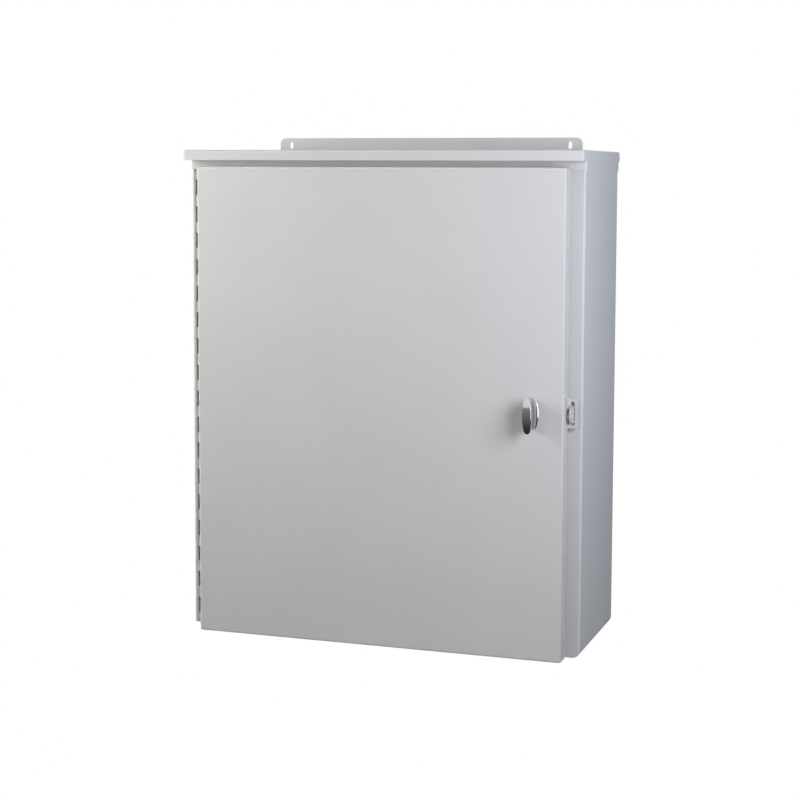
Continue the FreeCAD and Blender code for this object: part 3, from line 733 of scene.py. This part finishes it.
@dataclass
class KnobLatch:
    """Wing knob, its bushing and the cam behind it."""

    paintbox: Paintbox
    shaft_radius: float = 0.005
    square_side: float = 0.007
    square_length: float = 0.003
    tip_radius: float = 0.003
    tip_length: float = 0.0082
    thread: Thread = Thread(0.001)

    def build(self) -> None:
        """Dress the latch and cut the thread on the spindle's tip."""
        self.paintbox.dress(Slot.CHROME, "wing_knob", "latch_bushing")
        self.paintbox.dress(
            Slot.ZINC_STEEL, "bushing_nut", "latch_spacer", "latch_cam", "cam_washer", "cam_nut")
        low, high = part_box("latch_spindle")
        middle = (low + high) / 2
        tip = high.y - low.y
        shoulder = tip - self.tip_length
        neck = shoulder - self.square_length
        turned = TurnedMesh()
        turned.start(Vector((middle.x, low.y, middle.z)), Vector((0, 1, 0)))
        turned.rings(((0.0, self.shaft_radius), (neck, self.shaft_radius)))
        turned.square(neck, shoulder, self.square_side, self.shaft_radius)
        turned.threaded(shoulder, tip, self.tip_radius, self.thread)
        stand_in(turned, "latch_spindle", Body.LATCH, self.paintbox)


@dataclass
class EquipmentBay:
    """Mounting panel with its studs, washers and nuts, and the body's earth stud."""

    paintbox: Paintbox
    collar_radius: float = 0.008
    collar_length: float = 0.0127
    collar_edge: float = 0.0004
    bead_radius: float = 0.0094
    bead_height: float = 0.0012
    # Reach and radius of each ring, as shares of the bead's height and radius.
    bead_profile: tuple[Pair, ...] = ((0.0, 1.0), (0.4, 0.96))
    shank_radius: float = 0.004
    thread: Thread = Thread(0.00125)

    def build(self) -> None:
        """Dress the inside and cut the threads of its studs."""
        self.paintbox.dress(Slot.WHITE_PAINT, "mounting_panel")
        self.paintbox.dress(
            Slot.ZINC_STEEL, "panel_washers", "panel_nuts", "ground_washer", "ground_nut")
        WeldStud("ground_stud", Body.BODY, Vector((0, 0, 1))).build(self.paintbox)
        self.cut_panel_studs()

    def cut_panel_studs(self) -> None:
        """Collar studs with a weld bead at the foot and a threaded shank."""
        low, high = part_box("panel_studs")
        turned = TurnedMesh()
        for x in (low.x + self.collar_radius, high.x - self.collar_radius):
            for z in (low.z + self.collar_radius, high.z - self.collar_radius):
                turned.start(Vector((x, high.y, z)), Vector((0, -1, 0)))
                turned.rings(self.bead_profile, self.bead_height, self.bead_radius)
                turned.rings((
                    (self.bead_height, self.collar_radius),
                    (self.collar_length - self.collar_edge, self.collar_radius),
                    (self.collar_length, self.collar_radius - self.collar_edge),
                    (self.collar_length, self.shank_radius)))
                turned.threaded(
                    self.collar_length, high.y - low.y, self.shank_radius, self.thread)
        stand_in(turned, "panel_studs", Body.BODY, self.paintbox)


# --- studio ----------------------------------------------------------------------------------
@dataclass(frozen=True)
class SoftBox:
    """Square soft lamp aimed at a point."""

    name: str
    place: Triple
    side: float
    power: float
    colour: Triple = WHITE
    aim: Triple = (0.0, -0.3, 0.2)
    mirrored: bool = False

    def make(self) -> bpy.types.Object:
        """Build the lamp; only a mirrored one shows in polished metal.

        Returns:
            The lamp's object.
        """
        data = bpy.data.lights.new(self.name, "AREA")
        data.shape = "RECTANGLE"
        data.size = data.size_y = self.side
        data.energy = self.power
        data.color = self.colour
        lamp = bpy.data.objects.new(self.name, data)
        lamp.visible_glossy = self.mirrored
        bpy.context.scene.collection.objects.link(lamp)
        lamp.location = self.place
        sight = Vector(self.aim) - Vector(self.place)
        lamp.rotation_euler = sight.to_track_quat("-Z", "Y").to_euler()
        return lamp


@dataclass(frozen=True)
class Surroundings:
    """White beyond the enclosure, and a graded room for what its metal and paint reflect.

    A pair named low or high is a height, from -1 straight down to 1 straight up, and the
    brightness there. The horizon is two heights, between which the front turns white.
    """

    back_tint: Triple = (0.58, 0.67, 0.78)
    back_low: Pair = (-0.28, 0.3)
    back_high: Pair = (0.02, 1.0)
    front_low: Pair = (-0.45, 0.04)
    front_high: Pair = (0.05, 0.26)
    horizon: Pair = (0.07, 0.12)
    seam: float = 0.02           # half the width of the change from front to back

    def make(self) -> None:
        """Build the world: white where it is seen, graded where mirrored, dark to matt paint."""
        world = bpy.data.worlds.new("studio")
        world.use_nodes = True
        bpy.context.scene.world = world
        nodes = NodeTree(world.node_tree)
        output = nodes.add("ShaderNodeOutputWorld")
        path = nodes.add("ShaderNodeLightPath").outputs
        place = nodes.add("ShaderNodeTexCoord")
        axes = nodes.add("ShaderNodeSeparateXYZ")
        nodes.link(place.outputs["Generated"], axes.inputs["Vector"])
        height = axes.outputs["Z"]
        behind = nodes.ramp(axes.outputs["Y"], (-self.seam, 0.0), (self.seam, 1.0))
        above = nodes.ramp(height, (self.horizon[0], 0.0), (self.horizon[1], 1.0))
        below = nodes.ramp(height, self.front_low, self.front_high)
        front = nodes.math("MAXIMUM", above, below)
        back = nodes.ramp(height, self.back_low, self.back_high)
        room = nodes.add("ShaderNodeBackground")
        nodes.link(nodes.blend(behind, WHITE, self.back_tint, (0.0, 1.0)), room.inputs["Color"])
        nodes.link(nodes.mix(behind, front, back), room.inputs["Strength"])
        plain = nodes.add("ShaderNodeBackground", Color=(*WHITE, 1.0))
        seen = nodes.math("MAXIMUM", path["Is Camera Ray"], path["Is Transmission Ray"])
        nodes.link(seen, plain.inputs["Strength"])
        either = nodes.add("ShaderNodeMixShader")
        nodes.link(path["Is Glossy Ray"], either.inputs["Fac"])
        nodes.link(plain.outputs["Background"], either.inputs[1])
        nodes.link(room.outputs["Background"], either.inputs[2])
        nodes.link(either.outputs["Shader"], output.inputs["Surface"])


@dataclass(frozen=True)
class Floor:
    """Pale floor below the hanging enclosure, which turns white towards its edges."""

    drop: float = 0.9
    half: float = 1.6
    paper: float = 0.65
    fade_low: Pair = (0.5, 0.82)     # distance from the middle, and the glow there
    fade_high: Pair = (1.5, 1.0)
    glow_mirrored: float = 0.3

    def make(self) -> None:
        """Build the floor and lay it below the solids."""
        mesh = bpy.data.meshes.new("floor")
        half = self.half
        corners = [(-half, -half, 0), (half, -half, 0), (half, half, 0), (-half, half, 0)]
        mesh.from_pydata(corners, [], [(0, 1, 2, 3)])
        mesh.materials.append(self.cover())
        floor = bpy.data.objects.new("floor", mesh)
        floor.location.z = cad_box[0].z - self.drop
        bpy.context.scene.collection.objects.link(floor)

    def cover(self) -> bpy.types.Material:
        """Build the paper-like material, which turns white for the camera towards its edges.

        Returns:
            The finished material.
        """
        material = bpy.data.materials.new("pale_floor")
        material.use_nodes = True
        nodes = NodeTree(material.node_tree)
        output = nodes.add("ShaderNodeOutputMaterial")
        path = nodes.add("ShaderNodeLightPath").outputs
        place = nodes.add("ShaderNodeTexCoord")
        reach = nodes.add("ShaderNodeVectorMath", operation="LENGTH")
        nodes.link(place.outputs["Object"], reach.inputs[0])
        paper = nodes.add("ShaderNodeBsdfDiffuse", Color=(self.paper, self.paper, self.paper, 1.0))
        glow = nodes.add("ShaderNodeEmission", Color=(*WHITE, 1.0))
        faded = nodes.ramp(reach.outputs["Value"], self.fade_low, self.fade_high)
        shown = nodes.math("MULTIPLY", path["Is Camera Ray"], faded)
        mirrored = nodes.math("MULTIPLY", path["Is Glossy Ray"], self.glow_mirrored)
        nodes.link(nodes.math("MAXIMUM", shown, mirrored), glow.inputs["Strength"])
        both = nodes.add("ShaderNodeAddShader")
        nodes.link(paper.outputs["BSDF"], both.inputs[0])
        nodes.link(glow.outputs["Emission"], both.inputs[1])
        nodes.link(both.outputs["Shader"], output.inputs["Surface"])
        return material


@dataclass
class Studio:
    """Soft lamps round the enclosure, the floor and the surroundings."""

    surroundings: Surroundings = Surroundings()
    floor: Floor = Floor()
    lamps: tuple[SoftBox, ...] = (
        SoftBox(
            "key_lamp", (1.784, -1.906, 0.0), 1.0, 10.4, (0.94, 0.935, 1.0),
            aim=(0.0, -0.3, 0.05), mirrored=True),
        SoftBox("right_lamp", (1.126, -0.95, 0.45), 0.6, 12.9, (0.892, 0.919, 1.0)),
        SoftBox("left_lamp", (-1.065, -1.046, 0.6), 0.6, 11.8, (1.0, 0.968, 0.932)),
        SoftBox("side_lamp", (-4.8, -0.47, 0.1), 1.9, 185.0, (1.0, 0.978, 0.887)),
        SoftBox("fill_lamp", (-0.492, -2.135, 0.25), 0.6, 4.4, (1.0, 1.0, 0.95)),
        SoftBox(
            "top_lamp", (0.0, -0.8, 1.8), 1.0, 7.1, (0.92, 0.965, 1.0), aim=(0.0, -0.3, 0.3)),
        SoftBox("rear_lamp", (0.0, 2.4, 1.3), 1.4, 60.0, aim=(0.0, -0.1, 0.0)),
    )

    def build(self) -> None:
        """Build the surroundings, the floor and the lamps."""
        self.surroundings.make()
        self.floor.make()
        for lamp in self.lamps:
            lamp.make()


@dataclass(frozen=True)
class Viewpoint:
    """Camera in front of the door, to its right and a little above its middle."""

    place: Triple = (1.0733, -3.2778, 0.4154)
    turn_deg: float = 18.269
    dip_deg: float = 5.375
    roll_deg: float = 0.25
    lens_mm: float = 78.3
    sensor_mm: float = 36.0
    shift: Pair = (-0.0282, -0.0788)
    clip: Pair = (0.05, 50.0)

    def make(self) -> None:
        """Build the camera and make it the scene's."""
        data = bpy.data.cameras.new("viewpoint")
        data.sensor_width = self.sensor_mm
        data.lens = self.lens_mm
        data.shift_x, data.shift_y = self.shift
        data.clip_start, data.clip_end = self.clip
        camera = bpy.data.objects.new("viewpoint", data)
        bpy.context.scene.collection.objects.link(camera)
        turned = Matrix.Rotation(math.radians(self.turn_deg), 4, "Z")
        dipped = Matrix.Rotation(math.radians(90 - self.dip_deg), 4, "X")
        rolled = Matrix.Rotation(math.radians(self.roll_deg), 4, "Z")
        camera.matrix_world = Matrix.Translation(self.place) @ turned @ dipped @ rolled
        bpy.context.scene.camera = camera


def main() -> None:
    """Build the enclosure's looks, the studio and the camera."""
    logging.basicConfig(level=logging.INFO, format="%(message)s")
    bpy.context.scene.view_settings.view_transform = "Standard"
    paintbox = Paintbox()
    for assembly in (BodyShell, HingeSet, DoorPanel, PadlockHasp, KnobLatch, EquipmentBay):
        assembly(paintbox).build()
        LOG.info("built %s", assembly.__name__)
    Studio().build()
    Viewpoint().make()


if __name__ == "__main__":
    main()
